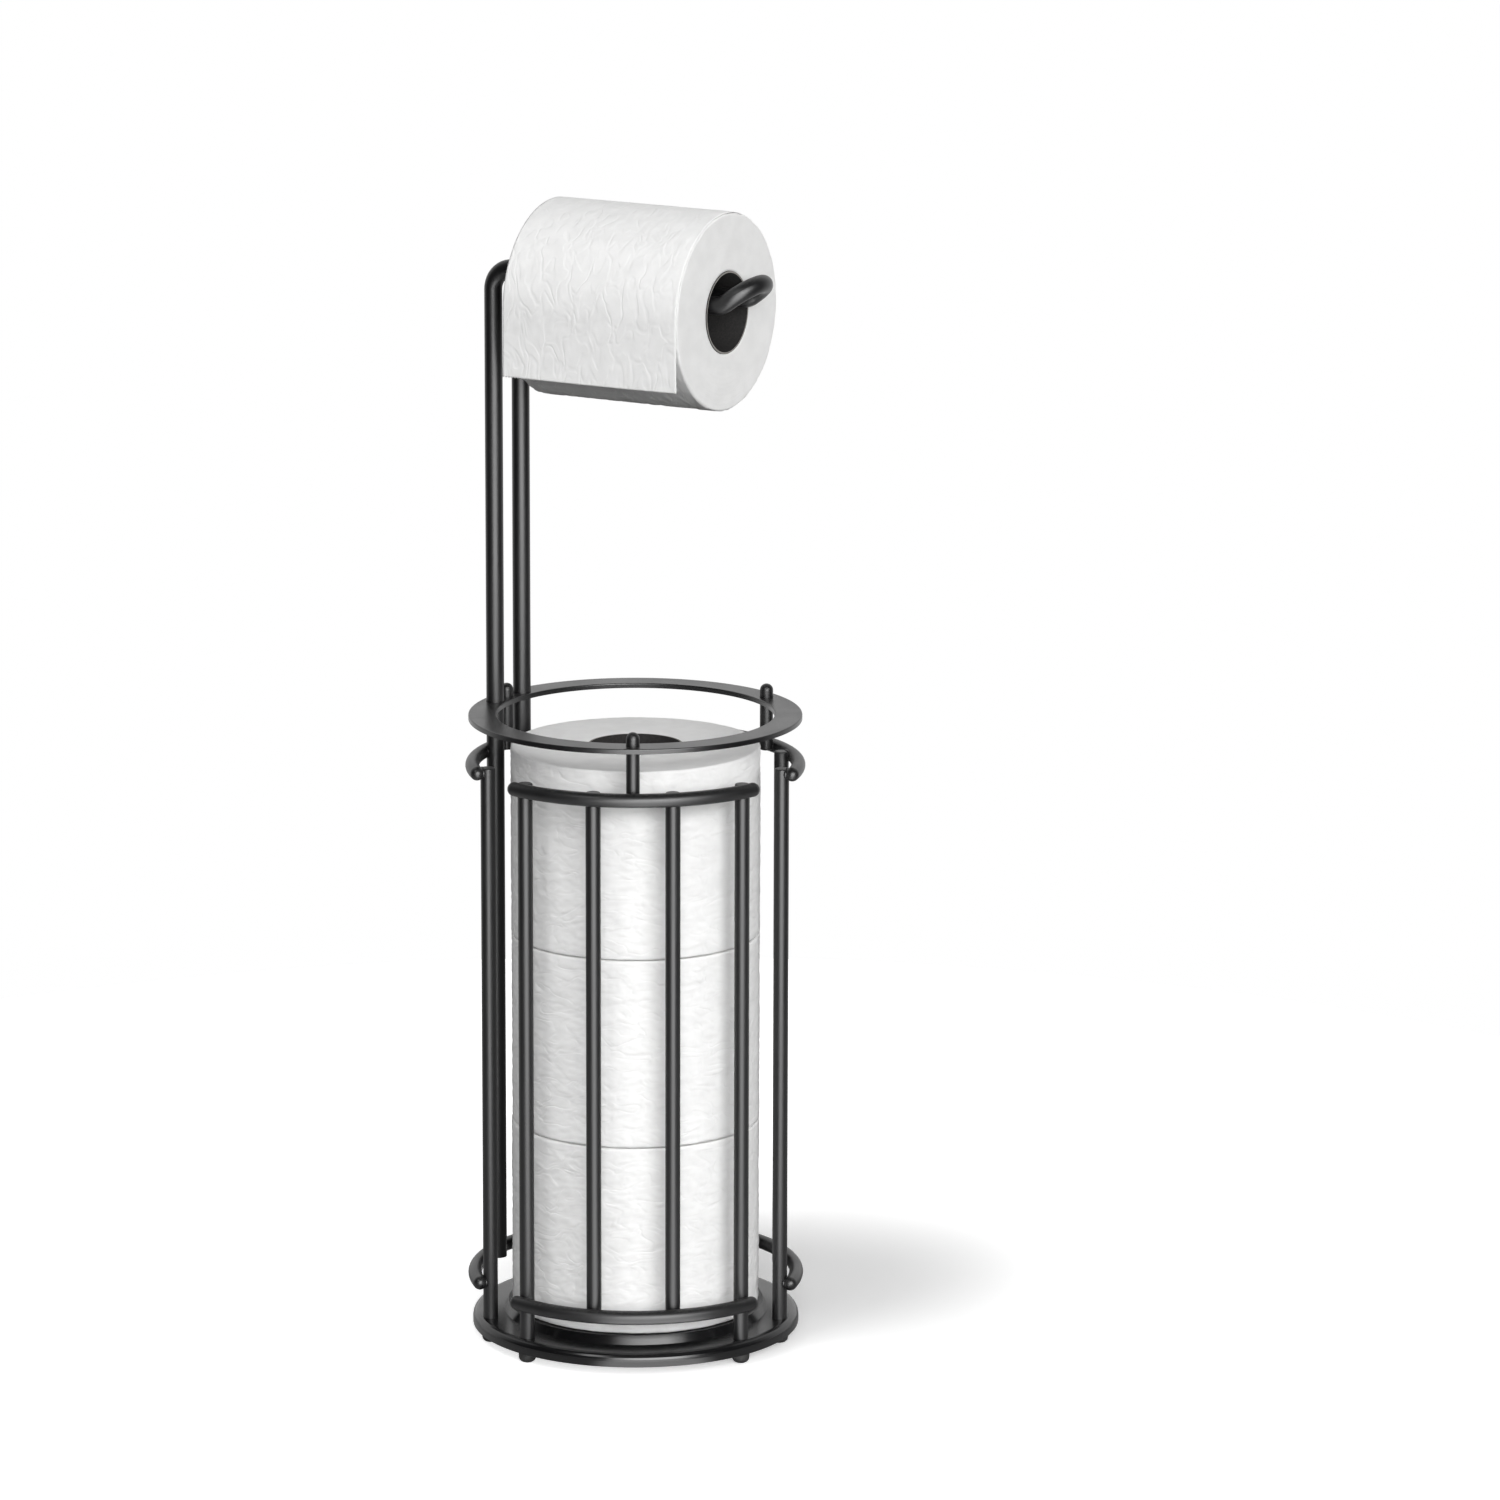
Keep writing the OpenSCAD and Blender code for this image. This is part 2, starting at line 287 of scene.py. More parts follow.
wire_paint = black_paint("wire paint", roughness=0.38, specular=0.5)
base_paint = black_paint("base paint", roughness=0.2, specular=0.4, peel_mm=0.006, dust=0.1)
ring_paint = black_paint("ring paint", roughness=0.3, specular=0.45)
wires = (["arm_tube"]
         + [f"leg_{i}" for i in range(1, LEGS + 1)]
         + [f"bar_{i}" for i in range(1, BARS + 1)]
         + [f"{kind}_{i}" for kind in ("lower_rail", "upper_rail", "hanger") for i in range(1, PANELS + 1)])
dress(wires, wire_paint)
dress(["base_plate"], base_paint)
dress(["top_ring"], ring_paint)
print("painted:", len(wires) + 2, "pieces of metal")

# %% [markdown]
# Black caps close the legs, so that the bare wire doesn't scratch the floor. They are soft
# plastic with a dull, slightly pebbled skin, which needs no gloss and a coarser relief.

# %%
# Foot caps
def cap_rubber():
    material, tree, shader = new_material("cap rubber")
    touched = use_group(tree, handling, Patch_size_mm=6.0, Amount=0.5, Dust_on_top=0.2)
    relief = use_group(tree, skin_relief, Grain_size_mm=0.5, Height_mm=0.03, Detail=3.0)
    fresh, rubbed = (0.012, 0.012, 0.012, 1), (0.028, 0.027, 0.026, 1)
    plug(tree, shader.inputs["Roughness"], plus(tree, 0.55, times(tree, touched["Rubbed"], 0.2)))
    plug(tree, shader.inputs["Base Color"], mix_colour(tree, touched["Rubbed"], fresh, rubbed))
    raise_skin(tree, shader, relief["Height"], strength=0.7)
    return material


dress([f"foot_{i}" for i in range(1, LEGS + 1)], cap_rubber())
print("foot caps:", LEGS)

# %% [markdown]
# Each upright wire is welded to the rails, and a weld leaves a small smooth bead under the
# paint. There are more than twenty, nearly alike. Their places are worked out from the boxes of
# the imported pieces: a bead lies at the wire's angle round the cage and at the rail's height. The
# two legs of the arm's tube are one piece, so their angles come from the points on either side.

# %%
# Where wires meet rails
def middle(name):
    low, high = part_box(name)
    return (low + high) / 2


def ring_angle(point):
    return math.atan2(point.y, point.x)


rail_low, rail_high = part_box("lower_rail_1")
rail_d = rail_high.z - rail_low.z
rail_r = -rail_low.y - rail_d / 2
rail_heights = [middle(f"{rail}_rail_1").z for rail in ("lower", "upper")]
weld_points = []
for kind, count in (("leg", LEGS), ("bar", BARS)):
    for i in range(1, count + 1):
        angle = ring_angle(middle(f"{kind}_{i}"))
        weld_points += [(angle, height, 1.0) for height in rail_heights]
for i in range(1, PANELS + 1):
    weld_points.append((ring_angle(middle(f"hanger_{i}")), rail_heights[1], 0.85))
turn_joint = next(joint for joint in frame["joints"] if joint["name"] == "roll_turn")
arm_dir = Vector(turn_joint["axis"]).normalized()
hung_centre = Vector(turn_joint["pos_m"])
side_dir = Vector((0, 0, 1)).cross(arm_dir)
tube_legs = [v.co for v in nodes["arm_tube"].data.vertices if v.co.z < rail_heights[1]]
for side in (-1, 1):
    leg_points = [point for point in tube_legs if side * point.dot(side_dir) > 0]
    angle = ring_angle(sum(leg_points, Vector()) / len(leg_points))
    weld_points += [(angle, height, 1.1) for height in rail_heights]
print("welds:", len(weld_points))

# %% [markdown]
# One bead is a ball, flattened towards the cage's axis. Geometry Nodes put it on each point of
# a small mesh, turned outwards and scaled by what the point carries. So one graph
# makes all the beads, and the result is kept as plain faces that move with the stand.

# %%
# One bead on each weld
def note_points(mesh, label, kind, values):
    """Keeps one value for each point of a mesh under a name that a node graph can read."""
    mesh.attributes.new(label, kind, "POINT")
    field = "vector" if kind == "FLOAT_VECTOR" else "value"
    mesh.attributes[label].data.foreach_set(field, np.array(values, dtype=np.float32).ravel())


def new_piece(name, data):
    piece = bpy.data.objects.new(name, data)
    scene.collection.objects.link(piece)
    return piece


def bead_tree():
    tree, given, result = new_group(
        "beads", "GeometryNodeTree",
        [("Geometry", GEOMETRY, None), ("Width", FLOAT, 9 * MM), ("Depth", FLOAT, 3 * MM),
         ("Height", FLOAT, 5 * MM), ("Paint", MATERIAL, None)],
        [("Geometry", GEOMETRY)])
    ball = add_node(tree, "GeometryNodeMeshUVSphere", {"Segments": 16, "Rings": 10, "Radius": 0.5})
    size = combine(tree, given["Depth"], given["Width"], given["Height"])
    bead = add_node(tree, "GeometryNodeTransform", {"Geometry": ball.outputs[0], "Scale": size})
    facing = add_node(tree, "GeometryNodeInputNamedAttribute", {"Name": "facing"}, data_type="FLOAT_VECTOR")
    scale = add_node(tree, "GeometryNodeInputNamedAttribute", {"Name": "size"}, data_type="FLOAT")
    turn = add_node(tree, "FunctionNodeAlignRotationToVector", {"Vector": facing.outputs[0]},
                    axis="X", pivot_axis="Z")
    placed = add_node(tree, "GeometryNodeInstanceOnPoints",
                      {"Points": given["Geometry"], "Instance": bead.outputs[0],
                       "Rotation": turn.outputs[0], "Scale": scale.outputs[0]})
    real = add_node(tree, "GeometryNodeRealizeInstances", {"Geometry": placed.outputs[0]})
    smooth = add_node(tree, "GeometryNodeSetShadeSmooth", {"Geometry": real.outputs[0]})
    painted = add_node(tree, "GeometryNodeSetMaterial",
                       {"Geometry": smooth.outputs[0], "Material": given["Paint"]})
    plug(tree, result["Geometry"], painted.outputs[0])
    return tree


def grow(piece, tree, **inputs):
    """Runs a Geometry Nodes tree on a piece and gives the result as a plain mesh object."""
    modifier = piece.modifiers.new(tree.name, "NODES")
    modifier.node_group = tree
    sockets = {s.name: s.identifier for s in tree.interface.items_tree if s.in_out == "INPUT"}
    for label, value in inputs.items():
        modifier[sockets[label.replace("_", " ")]] = value
    piece.update_tag()
    bpy.context.view_layer.update()
    graph = bpy.context.evaluated_depsgraph_get()
    mesh = bpy.data.meshes.new_from_object(piece.evaluated_get(graph), preserve_all_data_layers=True,
                                           depsgraph=graph)
    name = piece.name
    bpy.data.objects.remove(piece)
    mesh.name = name
    return new_piece(name, mesh)


bead_depth_share = 0.42
outwards = [Vector((math.cos(angle), math.sin(angle), 0)) for angle, _, _ in weld_points]
bead_mesh = bpy.data.meshes.new("weld_beads")
bead_mesh.from_pydata([way * (rail_r - bead_depth_share * rail_d) + Vector((0, 0, height))
                       for way, (_, height, _) in zip(outwards, weld_points)], [], [])
note_points(bead_mesh, "facing", "FLOAT_VECTOR", outwards)
note_points(bead_mesh, "size", "FLOAT", [size for _, _, size in weld_points])
weld_beads = grow(new_piece("weld_beads", bead_mesh), bead_tree(),
                  Width=8.6 * MM, Depth=3.4 * MM, Height=6.2 * MM, Paint=wire_paint)
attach(weld_beads, "stand")
print("weld beads:", len(weld_beads.data.polygons), "faces")

# %% [markdown]
# Toilet paper is soft and white, with short fibres and a pressed pattern. On the end of a roll
# the cut edges of some two hundred turns lie side by side, so the end is ruled with a very fine
# spiral, and the grooves between the turns are painted a little darker as painted shade. The
# finish reads where it is on its own roll from an attribute that the mesh carries, so that the
# spiral follows a roll whichever way it lies.

# %%
# Paper finish
def paper_material(name, spiral_pitch_mm=0.45):
    material, tree, shader = new_material(name)
    place = add_node(tree, "ShaderNodeAttribute", attribute_name="roll_place").outputs["Vector"]
    on_end = add_node(tree, "ShaderNodeAttribute", attribute_name="on_end").outputs["Fac"]
    x, y, _ = split(tree, place)
    radius = calc(tree, "SQRT", plus(tree, calc(tree, "POWER", x, 2.0), calc(tree, "POWER", y, 2.0)))
    share_round = over(tree, calc(tree, "ARCTAN2", y, x), 2 * math.pi)
    turns = minus(tree, over(tree, radius, spiral_pitch_mm * MM), share_round)
    wander = noise(tree, place, Scale=60.0, Detail=2.0)
    spiral = wave(tree, plus(tree, turns, times(tree, wander, 3.0)))
    ridges = plus(tree, 0.5, times(tree, spiral, 0.5))

    stretched = vector_calc(tree, "MULTIPLY", place, (1 / (15 * MM), 1 / (15 * MM), 1 / (8 * MM)))
    strokes = noise(tree, stretched, Scale=1.0, Detail=1.0, Roughness=0.5, Distortion=0.9)
    folds = remap(tree, size_of(tree, minus(tree, strokes, 0.5)), 0.0, 0.13, smooth=True)
    pressed = times(tree, minus(tree, 1.0, on_end), folds)
    fibre = noise(tree, place, Scale=1 / (1.2 * MM), Detail=4.0, Roughness=0.65)
    layers = times(tree, ridges, on_end)
    fine = plus(tree, times(tree, fibre, 0.02 * MM), times(tree, layers, 0.09 * MM))
    raise_skin(tree, shader, plus(tree, fine, times(tree, pressed, 0.16 * MM)), strength=0.8)

    blotch = noise(tree, place, Scale=1 / (9 * MM), Detail=3.0)
    tone = mix_colour(tree, remap(tree, blotch, 0.35, 0.65), (0.86, 0.86, 0.855, 1), (0.91, 0.91, 0.905, 1))
    # The grooves between turns on an end are painted a little darker: painted shade in the grooves.
    painted_groove_shade = times(tree, minus(tree, 1.0, ridges), times(tree, on_end, 0.15))
    plug(tree, shader.inputs["Base Color"], mix_colour(tree, painted_groove_shade, tone, (0.70, 0.69, 0.67, 1)))
    plug(tree, shader.inputs["Roughness"], remap(tree, fibre, 0.3, 0.7, 0.82, 0.97))
    shader.inputs["Specular IOR Level"].default_value = 0.15
    shader.inputs["Sheen Weight"].default_value = 0.12
    shader.inputs["Sheen Roughness"].default_value = 0.6
    return material


paper = paper_material("tissue paper")
print("finish:", paper.name)

# %% [markdown]
# A roll follows a rule: a rounded outline carried once round an axis, with paper that ends on
# top of its own last turn. Geometry Nodes build it from a flat grid. One side of the grid runs
# round the axis and the other runs along the outline, which is sampled from a filleted
# rectangle. The outer face is then pressed with soft crescents that run the way the paper runs,
# the ends get a shallow spiral, and the last turn leaves a small step. The grid's edges meet,
# so merging them closes the roll.

# %%
# Wound roll
def outline_point(tree, given, share):
    """A point of the rounded outline, as its distance from the roll's axis and its height."""
    wall = minus(tree, given["Outer radius"], given["Bore radius"])
    outline = add_node(tree, "GeometryNodeCurvePrimitiveQuadrilateral",
                       {"Width": wall, "Height": given["Width"]})
    rounded = add_node(tree, "GeometryNodeFilletCurve",
                       {"Curve": outline.outputs[0], "Count": 6, "Radius": given["Edge rounding"]},
                       mode="POLY")
    sample = add_node(tree, "GeometryNodeSampleCurve", {"Curves": rounded.outputs[0], "Factor": share},
                      mode="FACTOR", use_all_curves=True)
    across, height, _ = split(tree, sample.outputs["Position"])
    mid_radius = times(tree, plus(tree, given["Outer radius"], given["Bore radius"]), 0.5)
    return plus(tree, across, mid_radius), height


def pressed_depth(tree, given, place):
    """How deep the pressed crescents and the soft waves of the outer face are."""
    stretched = vector_calc(tree, "MULTIPLY", place, (1 / (15 * MM), 1 / (15 * MM), 1 / (4.6 * MM)))
    crescents = noise(tree, stretched, Scale=1.0, Detail=2.0, Roughness=0.5, Distortion=1.1)
    folds = size_of(tree, minus(tree, crescents, 0.5))
    pressed = remap(tree, folds, 0.0, 0.11, 1.0, 0.0, smooth=True)
    waves = noise(tree, place, Scale=42.0, Detail=1.0)
    return times(tree, plus(tree, times(tree, pressed, 0.7), waves), given["Emboss depth"])


def wound_roll_tree():
    tree, given, result = new_group(
        "wound roll", "GeometryNodeTree",
        [("Geometry", GEOMETRY, None), ("Outer radius", FLOAT, 66 * MM), ("Bore radius", FLOAT, 25 * MM),
         ("Width", FLOAT, 100 * MM), ("Edge rounding", FLOAT, 0.5 * MM), ("Emboss depth", FLOAT, 0.5 * MM),
         ("Last turn step", FLOAT, 0.4 * MM), ("End relief", FLOAT, 0.35 * MM),
         ("Turns round", WHOLE, 256), ("Steps along outline", WHOLE, 256), ("Seed", FLOAT, 0.0),
         ("Paper", MATERIAL, None)],
        [("Geometry", GEOMETRY)])
    grid = add_node(tree, "GeometryNodeMeshGrid",
                    {"Size X": 1.0, "Size Y": 1.0,
                     "Vertices X": plus(tree, given["Turns round"], 1.0),
                     "Vertices Y": plus(tree, given["Steps along outline"], 1.0)})
    flat_x, flat_y, _ = split(tree, add_node(tree, "GeometryNodeInputPosition").outputs[0])
    round_share = plus(tree, flat_x, 0.5)
    radius, height = outline_point(tree, given, plus(tree, flat_y, 0.5))
    angle = times(tree, round_share, 2 * math.pi)
    cosine, sine = calc(tree, "COSINE", angle), calc(tree, "SINE", angle)
    plain = combine(tree, times(tree, radius, cosine), times(tree, radius, sine), height)
    seeded = vector_calc(tree, "ADD", plain, combine(tree, given["Seed"], given["Seed"], given["Seed"]))

    outer, half = given["Outer radius"], times(tree, given["Width"], 0.5)
    on_side = remap(tree, radius, minus(tree, outer, 1.6 * MM), minus(tree, outer, 0.4 * MM), smooth=True)
    on_end = remap(tree, size_of(tree, height), minus(tree, half, 1.2 * MM), minus(tree, half, 0.2 * MM),
                   smooth=True)
    half_step = over(tree, 0.5, given["Turns round"])
    not_last = calc(tree, "LESS_THAN", round_share, minus(tree, 1.0, half_step))
    drop = times(tree, times(tree, round_share, not_last), given["Last turn step"])
    dent = plus(tree, pressed_depth(tree, given, seeded), drop)
    new_radius = minus(tree, radius, times(tree, on_side, dent))

    spiral = wave(tree, minus(tree, over(tree, radius, 2.7 * MM), round_share))
    uneven = noise(tree, seeded, Scale=55.0, Detail=2.0)
    sunk = times(tree, plus(tree, uneven, times(tree, spiral, 0.18)),
                 times(tree, on_end, given["End relief"]))
    new_height = minus(tree, height, times(tree, calc(tree, "SIGN", height), sunk))

    marked = add_node(tree, "GeometryNodeStoreNamedAttribute",
                      {"Geometry": grid.outputs[0], "Name": "on_end", "Value": on_end},
                      data_type="FLOAT", domain="POINT")
    new_place = combine(tree, times(tree, new_radius, cosine), times(tree, new_radius, sine), new_height)
    bent = add_node(tree, "GeometryNodeSetPosition", {"Geometry": marked.outputs[0], "Position": new_place})
    placed = add_node(tree, "GeometryNodeStoreNamedAttribute",
                      {"Geometry": bent.outputs[0], "Name": "roll_place",
                       "Value": add_node(tree, "GeometryNodeInputPosition").outputs[0]},
                      data_type="FLOAT_VECTOR", domain="POINT")
    closed = add_node(tree, "GeometryNodeMergeByDistance",
                      {"Geometry": placed.outputs[0], "Distance": 0.01 * MM})
    smooth = add_node(tree, "GeometryNodeSetShadeSmooth", {"Geometry": closed.outputs[0]})
    real = add_node(tree, "GeometryNodeRealizeInstances", {"Geometry": smooth.outputs[0]})
    papered = add_node(tree, "GeometryNodeSetMaterial",
                       {"Geometry": real.outputs[0], "Material": given["Paper"]})
    plug(tree, result["Geometry"], papered.outputs[0])
    return tree


roll_tree = wound_roll_tree()
core_gap = 0.1 * MM


def wound_roll(name, body, replaced, place, **sizes):
    """Winds a roll round the Z axis, lays it in place and hangs it on a body of the model."""
    roll = grow(new_piece(name, bpy.data.meshes.new(name)), roll_tree, Paper=paper, **sizes)
    roll.data.transform(place)
    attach(roll, body)
    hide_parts(replaced)
    print(name, len(roll.data.polygons), "faces")


print("steps of the graph:", len(roll_tree.nodes))

# %% [markdown]
# The three spare rolls are full ones that stand on end in the cage. Each of them fills the space
# of its plain solid, from the card core outwards, and moves with that roll's own body. A
# different seed and a different turn keep the three patterns from lining up.

# %%
# Spare rolls
spare_low, spare_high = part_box("spare_roll_1")
spare_r = (spare_high.x - spare_low.x) / 2
core_low, core_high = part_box("spare_core_1")
core_outer_r = (core_high.x - core_low.x) / 2
for i in range(1, SPARES + 1):
    low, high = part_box(f"spare_roll_{i}")
    turned = Matrix.Rotation(math.radians(70 + 95 * i), 4, "Z")
    wound_roll(f"paper_roll_{i}", f"spare_{i}", f"spare_roll_{i}",
               Matrix.Translation((low + high) / 2) @ turned,
               Outer_radius=spare_r, Bore_radius=core_outer_r + core_gap, Width=high.z - low.z,
               Seed=0.37 * i)

# %% [markdown]
# The roll in use lies on the arm, which points to the right and towards the viewer. It lies
# askew in its box, so its axis and its middle come from the joint that it turns on. It is
# thinner than the spare rolls, since some of it has been used.

# %%
# Roll in use
lying = Matrix(((0, side_dir.x, arm_dir.x, hung_centre.x),
                (0, side_dir.y, arm_dir.y, hung_centre.y),
                (-1, side_dir.z, arm_dir.z, hung_centre.z),
                (0, 0, 0, 1)))
hung_low, hung_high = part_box("hung_roll")
hung_r = (hung_high.z - hung_low.z) / 2
hung_core_low, hung_core_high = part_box("hung_core")
hung_core_r = (hung_core_high.z - hung_core_low.z) / 2
along_arm = np.array([v.co for v in nodes["hung_roll"].data.vertices]) @ np.array(arm_dir)
hung_w = float(along_arm.max() - along_arm.min())
wound_roll("paper_roll_in_use", "roll_in_use", "hung_roll",
           lying @ Matrix.Rotation(math.radians(100), 4, "Z"),
           Outer_radius=hung_r, Bore_radius=hung_core_r + core_gap, Width=hung_w,
           Turns_round=240, Seed=2.9)
print("roll in use:", round(hung_r / MM, 1), "mm radius,", round(hung_w / MM, 1), "mm wide")

# %% [markdown]
# The last turn leaves the roll at its front and hangs straight down to a torn edge. It is a
# thin sheet, so it is a strip of points bent round the roll's radius and then let down. Its
# first few rows sink into the winding, where it comes from. Small waves run along the free part,
# and the torn edge has the short teeth that a line of perforations leaves.

# %%
# Loose sheet
sheet_width = hung_w - 0.8 * MM
sheet_radius = hung_r + 0.12 * MM
sheet_start, sheet_leave = math.radians(68), math.radians(180)
sheet_hang = hung_centre.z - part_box("loose_sheet")[0].z
columns, wrapped_rows, free_rows = 110, 90, 34
rows = wrapped_rows + free_rows


def sheet_row(row):
    """A row's place before and above the roll's axis, and its share of the free part."""
    if row > wrapped_rows:
        free = (row - wrapped_rows) / free_rows
        return -sheet_radius, -sheet_hang * free, free
    share = row / wrapped_rows
    angle = sheet_start + (sheet_leave - sheet_start) * share
    reach = sheet_radius - 0.75 * MM * max(0.0, 1 - share / 0.12)
    return reach * math.cos(angle), reach * math.sin(angle), 0.0


def sheet_point(row, column):
    side, up, free = sheet_row(row)
    along = (column / columns - 0.5) * sheet_width
    narrow_wave = free * 0.5 * MM * math.sin(along / (17 * MM))
    wide_wave = free ** 2 * 1.1 * MM * math.cos(along / (29 * MM) + 0.6)
    tooth = 0.45 * MM * (column % 2) if row == rows else 0.0
    out = side_dir * (side - narrow_wave - wide_wave)
    return hung_centre + arm_dir * along + out + Vector((0, 0, up + tooth))


sheet_mesh = bpy.data.meshes.new("hanging_sheet")
sheet_verts = [sheet_point(row, column) for row in range(rows + 1) for column in range(columns + 1)]
corners = [row * (columns + 1) + column for row in range(rows) for column in range(columns)]
sheet_mesh.from_pydata(sheet_verts, [], [(a, a + 1, a + columns + 2, a + columns + 1) for a in corners])
sheet = new_piece("hanging_sheet", sheet_mesh)

# %% [markdown]
# The sheet is two soft plies, so the strip gets a thickness. It takes the same paper finish as
# the rolls: each point notes where it lies round the roll's axis, and none of them is on an end.
# The sheet hangs from the roll, and it moves with the stand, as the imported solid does.

# %%
# Thickness and finish of the loose sheet
offsets = [point - hung_centre for point in sheet_verts]
note_points(sheet_mesh, "roll_place", "FLOAT_VECTOR",
            [(o.dot(side_dir), o.z, o.dot(arm_dir)) for o in offsets])
note_points(sheet_mesh, "on_end", "FLOAT", [0.0] * len(offsets))
thickness = sheet.modifiers.new("thickness", "SOLIDIFY")
thickness.thickness = 0.45 * MM
thickness.offset = 0.0
sheet_mesh.shade_smooth()
sheet_mesh.materials.append(paper)
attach(sheet, "stand")
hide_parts("loose_sheet")
print("sheet faces:", len(sheet_mesh.polygons))

# %% [markdown]
# Inside each roll is a tube of grey card, wound from strips, so a shallow seam climbs round it.
# The imported tubes have the right shape. Their finish gets the spiral seam and the card's coarse
# fibre. The bores are in deep shade, so the card's colour is painted nearly black as painted
# shade, and only the cut edges, which face along the axis, keep a lighter card grey.

# %%
# Card cores
def card_material(name, axis_matrix, seam_pitch_mm=70):
    material, tree, shader = new_material(name)
    place = add_node(tree, "ShaderNodeTexCoord").outputs["Object"]
    to_roll = axis_matrix.inverted()
    here = add_node(tree, "ShaderNodeMapping",
                    {"Vector": place, "Rotation": to_roll.to_euler(), "Location": to_roll.translation})
    x, y, z = split(tree, here.outputs[0])
    share_round = over(tree, calc(tree, "ARCTAN2", y, x), 2 * math.pi)
    climb = plus(tree, over(tree, z, seam_pitch_mm * MM), share_round)
    near_seam = size_of(tree, minus(tree, calc(tree, "FRACT", climb), 0.5))
    seam = remap(tree, near_seam, 0.0, 0.012, 1.0, 0.0)
    fibre = noise(tree, place, Scale=1 / (1.1 * MM), Detail=5.0, Roughness=0.75)
    height = minus(tree, times(tree, fibre, 0.06 * MM), times(tree, seam, 0.2 * MM))
    raise_skin(tree, shader, height, strength=0.6)
    # The card is painted nearly black in two fibre tones: painted shade of the deep bores.
    bore_shade_dark, bore_shade_pale = (0.020, 0.019, 0.019, 1), (0.038, 0.036, 0.035, 1)
    tone = mix_colour(tree, remap(tree, fibre, 0.35, 0.7), bore_shade_dark, bore_shade_pale)
    tone = mix_colour(tree, seam, tone, (0.02, 0.019, 0.018, 1))
    # Faces turned along the axis, the cut edges, keep a lighter card grey beside the painted shade of the
    # bore.
    facing = add_node(tree, "ShaderNodeNewGeometry").outputs["Normal"]
    along = size_of(tree, vector_calc(tree, "DOT_PRODUCT", facing, axis_matrix.to_3x3().col[2]))
    cut_edge = remap(tree, along, 0.6, 0.9)
    plug(tree, shader.inputs["Base Color"], mix_colour(tree, cut_edge, tone, (0.25, 0.24, 0.225, 1)))
    shader.inputs["Roughness"].default_value = 0.9
    shader.inputs["Specular IOR Level"].default_value = 0.2
    return material


upright_card = card_material("card of the spare rolls", Matrix.Identity(4))
dress([f"spare_core_{i}" for i in range(1, SPARES + 1)], upright_card)
dress(["hung_core"], card_material("card of the roll in use", lying))
print("card cores:", SPARES + 1)

# %% [markdown]
# The photograph was cut out on white, with a soft shadow to the right of the base. The floor is
# a round table that is white to the camera and darker to bounced light, so that it doesn't light
# the object from below. It glows a little, least in the shadow beside the base, which keeps the
# rest of it white. Only shiny paint sees the bright strip that runs from the base towards the
# streak panel: the strip glows, a painted reflection of the panel as a glossy table would show it.

# %%
# Floor
def seen_white(tree, mirrored):
    """1 for what the camera sees, mirrored for what a reflection shows, and 0 for bounced light."""
    path = add_node(tree, "ShaderNodeLightPath").outputs
    straight = calc(tree, "MAXIMUM", path["Is Camera Ray"], path["Is Transmission Ray"])
    return calc(tree, "MAXIMUM", straight, times(tree, path["Is Glossy Ray"], mirrored))


def painted_reflection_strip(tree, place, side_angle, brightness):
    """A glowing strip of the floor that widens away from the axis and shows only in reflections: a painted
    reflection of the streak panel.
    """
    turn = math.radians(side_angle)
    ahead = vector_calc(tree, "DOT_PRODUCT", place, (math.sin(turn), -math.cos(turn), 0))
    aside = vector_calc(tree, "DOT_PRODUCT", place, (math.cos(turn), math.sin(turn), 0))
    spread = over(tree, size_of(tree, aside), calc(tree, "MAXIMUM", ahead, 0.01))
    strip = remap(tree, spread, 0.3, 0.55, brightness, 0.0, smooth=True)
    return times(tree, strip, add_node(tree, "ShaderNodeLightPath").outputs["Is Glossy Ray"])


def table(radius, bounce, mirrored, shadow_centre, shadow_radius, glow):
    mesh = bpy.data.meshes.new("floor")
    turns = [2 * math.pi * i / 128 for i in range(128)]
    rim = [(radius * math.cos(turn), radius * math.sin(turn), 0) for turn in turns]
    mesh.from_pydata(rim, [], [tuple(range(len(rim)))])
    material, tree, shader = new_material("studio floor")
    place = add_node(tree, "ShaderNodeTexCoord").outputs["Object"]
    seen = seen_white(tree, mirrored)
    white = mix_colour(tree, seen, (bounce, bounce, bounce, 1), (0.97, 0.97, 0.97, 1))
    distance = vector_calc(tree, "DISTANCE", place, shadow_centre)
    fade = remap(tree, distance, *shadow_radius, *glow, smooth=True)
    # The strip glows only for reflections: a painted reflection of the streak panel on the floor.
    strip = painted_reflection_strip(tree, place, side_angle=9, brightness=4.0)
    plug(tree, shader.inputs["Base Color"], white)
    plug(tree, shader.inputs["Emission Strength"], plus(tree, times(tree, fade, seen), strip))
    shader.inputs["Emission Color"].default_value = (1, 1, 1, 1)
    shader.inputs["Roughness"].default_value = 0.9
    shader.inputs["Specular IOR Level"].default_value = 0.0
    mesh.materials.append(material)
    new_piece("floor", mesh)


table(radius=0.8, bounce=0.05, mirrored=0.35, shadow_centre=(0.09, 0.09, 0), shadow_radius=(0.03, 0.25),
      glow=(0.04, 0.75))
print("floor: 1.6 m across")

# %% [markdown]
# Behind the table hangs a white backdrop. The rest of the studio is dim, as it is in front of a
# real set, so the wires get dark sides and the underside of the roll stays in shade. Bounced
# light comes mostly from a band a little above the table, stronger at the right, and reflections
# show the backdrop behind and the dim room in front.

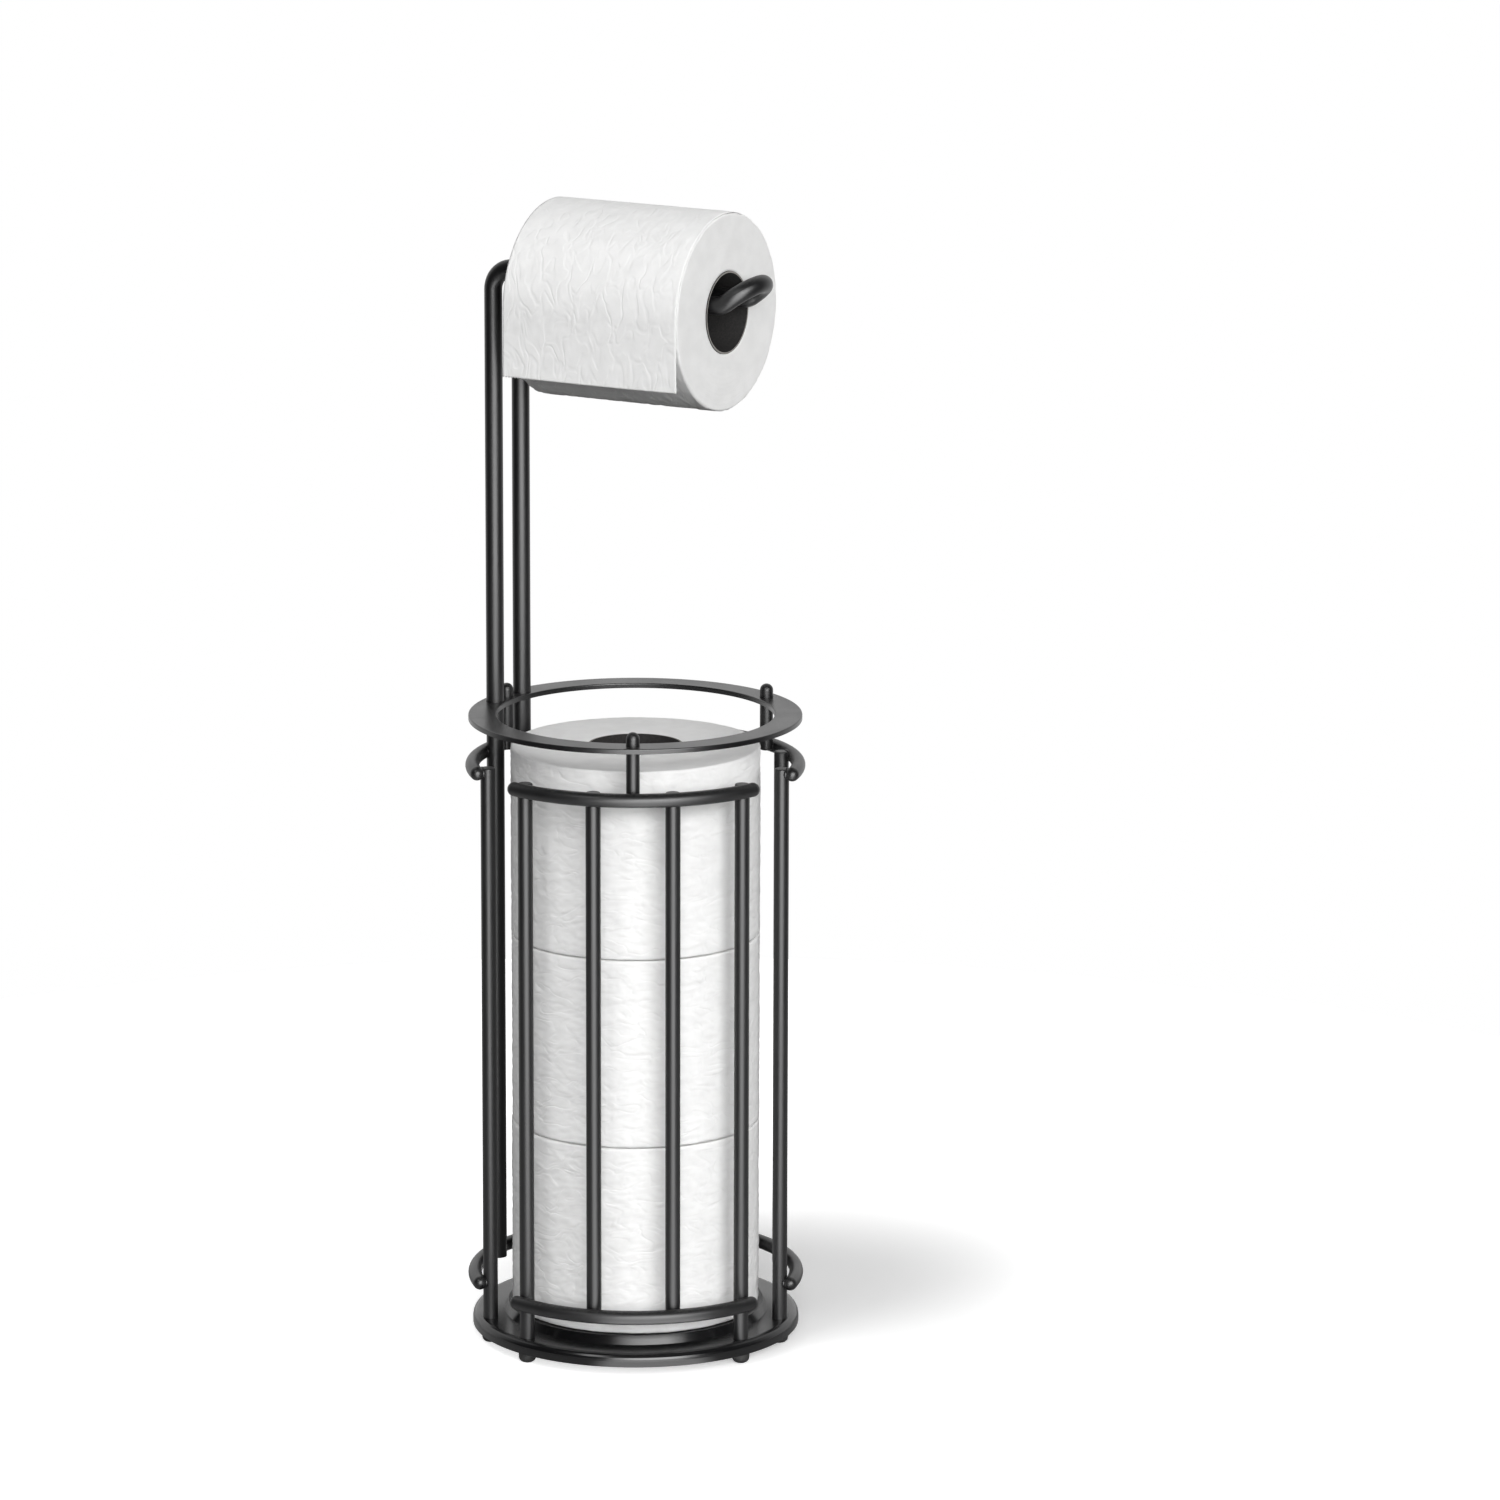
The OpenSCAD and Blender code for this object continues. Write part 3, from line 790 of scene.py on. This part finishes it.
# %%
# Backdrop and room
def studio(backdrop, room_reflection, light_above, light_ahead, light_below, lean_right):
    world = bpy.data.worlds.new("studio")
    world.use_nodes = True
    tree = world.node_tree
    x, y, z = split(tree, add_node(tree, "ShaderNodeTexCoord").outputs["Generated"])
    path = add_node(tree, "ShaderNodeLightPath").outputs
    mirrored = remap(tree, y, 0.0, 0.55, room_reflection, backdrop, smooth=True)
    rising = remap(tree, z, -0.05, 0.25, light_below, light_ahead, smooth=True)
    overhead = remap(tree, z, 0.3, 0.8, smooth=True)
    sideways = remap(tree, x, -1.0, 1.0, 1 - lean_right, 1 + lean_right)
    bounced = times(tree, mix_number(tree, overhead, rising, light_above), sideways)
    indirect = mix_number(tree, path["Is Glossy Ray"], bounced, mirrored)
    straight = calc(tree, "MAXIMUM", path["Is Camera Ray"], path["Is Transmission Ray"])
    background = tree.nodes["Background"]
    background.inputs["Color"].default_value = (1, 1, 1, 1)
    plug(tree, background.inputs["Strength"], mix_number(tree, straight, indirect, backdrop))
    scene.world = world


studio(backdrop=1.0, room_reflection=0.02, light_above=0.18, light_ahead=0.95, light_below=0.0,
       lean_right=0.3)
print("world:", scene.world.name)

# %% [markdown]
# Four lamps do the work. A wide softbox at the front right lights the paper, and its width keeps
# the wires from drawing hard shadows on the rolls. A lamp high on the left lays the shadow to
# the right. A low narrow beam lifts the spare rolls, which the wires shade, to the brightness
# that they have in the photograph. A tall soft panel at the front shows only in reflections, and
# it draws the long streak on each wire.

# %%
# Lamps
def lamp(name, side_angle, height_angle, distance, size, brightness, aim_z=0.3):
    """A soft lamp, with side_angle in degrees to the right of the camera's side."""
    side, up = math.radians(side_angle), math.radians(height_angle)
    way = Vector((math.sin(side) * math.cos(up), -math.cos(side) * math.cos(up), math.sin(up)))
    data = bpy.data.lights.new(name, "AREA")
    data.shape = "RECTANGLE"
    data.size, data.size_y = size
    data.energy = brightness * math.pi * size[0] * size[1]
    piece = new_piece(name, data)
    piece.location = Vector((0, 0, aim_z)) + way * distance
    piece.rotation_euler = (-way).to_track_quat("-Z", "Y").to_euler()
    piece.visible_camera = False
    return piece


lamp("front softbox", side_angle=20, height_angle=21, distance=3.6, size=(3.0, 1.6), brightness=6.8)
lamp("high lamp", side_angle=-38, height_angle=47, distance=4.0, size=(1.0, 1.0), brightness=7)
low_lamp = lamp("low lamp", side_angle=-6, height_angle=4, distance=1.6, size=(1.2, 0.3), brightness=0.25,
                aim_z=0.14)
low_lamp.data.spread = math.radians(24)
low_lamp.visible_glossy = False
panel = lamp("streak panel", side_angle=9, height_angle=-6, distance=1.3, size=(1.3, 1.7), brightness=7.5)
panel.visible_diffuse = False
scene.view_settings.view_transform = "Standard"
print("lamps:", len(bpy.data.lights))
